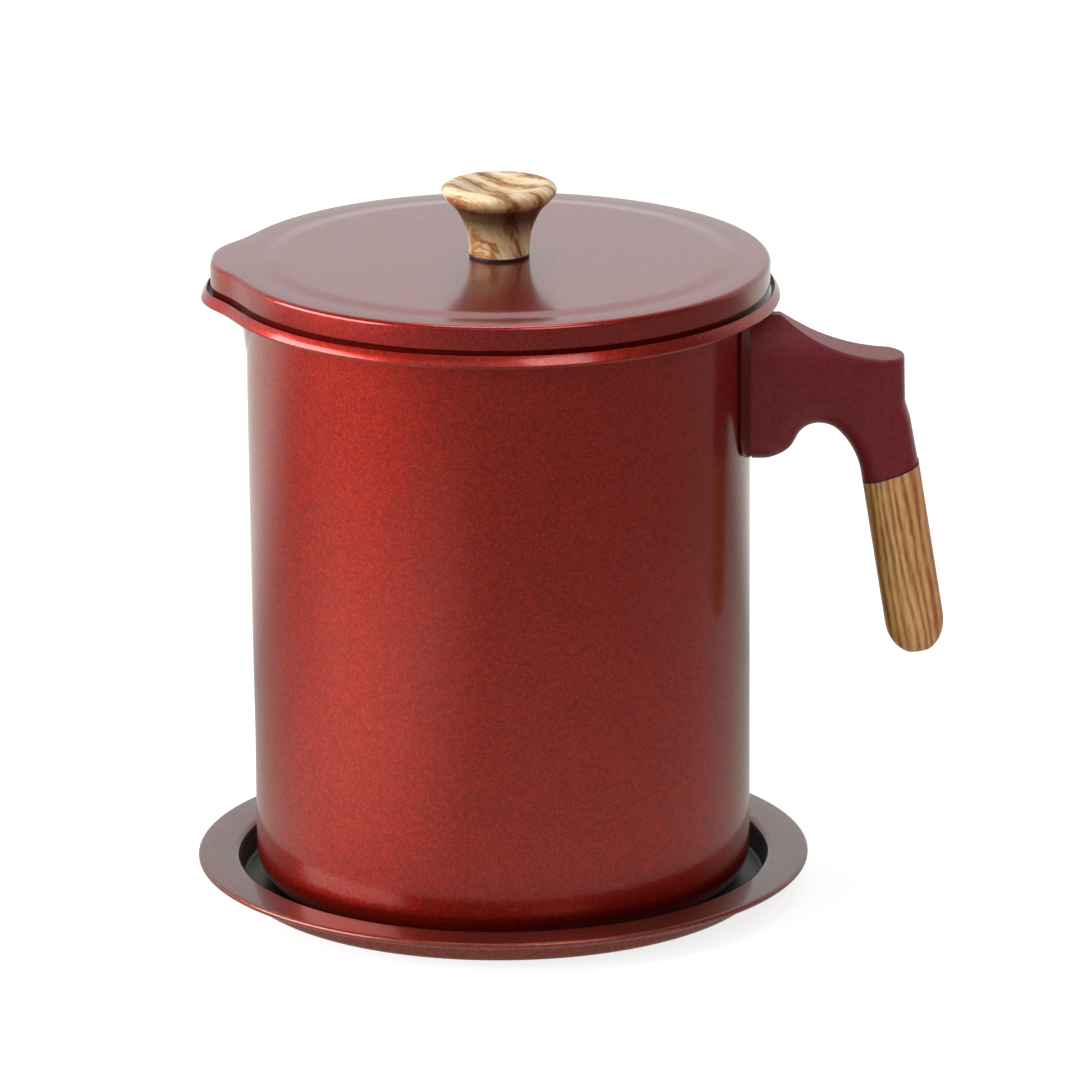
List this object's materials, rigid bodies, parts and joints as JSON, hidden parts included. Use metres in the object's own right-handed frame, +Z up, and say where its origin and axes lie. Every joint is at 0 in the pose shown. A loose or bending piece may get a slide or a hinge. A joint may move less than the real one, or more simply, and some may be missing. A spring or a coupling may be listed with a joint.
{
  "type": "bacon grease container",
  "caption": "Lidded steel can for straining and keeping cooking fat, with a pouring beak, a wood-grip side handle, a lift-out strainer and a drip tray.",
  "frame": {"origin": "centre of the drip tray's underside, on the can's axis", "axes": "+Z up along the can's axis, +X towards the handle, -X towards the pouring beak, +Y away from the side that is seen with the handle on the right"},
  "size_m": [0.1707, 0.14, 0.1653],
  "materials": {
    "red_enamel": "glossy metallic red",
    "red_handle": "glossy dark red",
    "grip_wood": "satin brown",
    "knob_wood": "satin light brown",
    "black_ring": "matt",
    "stainless_steel": "satin",
    "steel_mesh": "woven",
    "zinc_steel": "bright zinc",
    "brass": "plain"
  },
  "bodies": {
    "tray": {"drip_tray": "red_enamel"},
    "pot": {"pot_body": "red_enamel", "handle_bracket": "red_enamel", "bracket_nut": "zinc_steel", "handle_arm": "red_handle", "handle_washer": "zinc_steel", "handle_screw": "zinc_steel", "arm_insert": "brass", "handle_grip": "grip_wood", "grip_screw": "zinc_steel"},
    "strainer": {"strainer_collar": "stainless_steel", "strainer_mesh": "steel_mesh", "mesh_band": "stainless_steel"},
    "lid": {"lid_shell": "red_enamel", "knob_collar": "black_ring", "lid_knob": "knob_wood", "knob_insert": "brass", "knob_washer": "zinc_steel", "knob_screw": "zinc_steel"}
  },
  "joints": [
    {"name": "pot_lift", "type": "slide", "parent": "tray", "child": "pot", "axis": [0, 0, 1], "range_m": [0, 0.04]},
    {"name": "strainer_lift", "type": "slide", "parent": "pot", "child": "strainer", "axis": [0, 0, 1], "range_m": [0, 0.06]},
    {"name": "lid_lift", "type": "slide", "parent": "strainer", "child": "lid", "axis": [0, 0, 1], "range_m": [0, 0.03]}
  ]
}
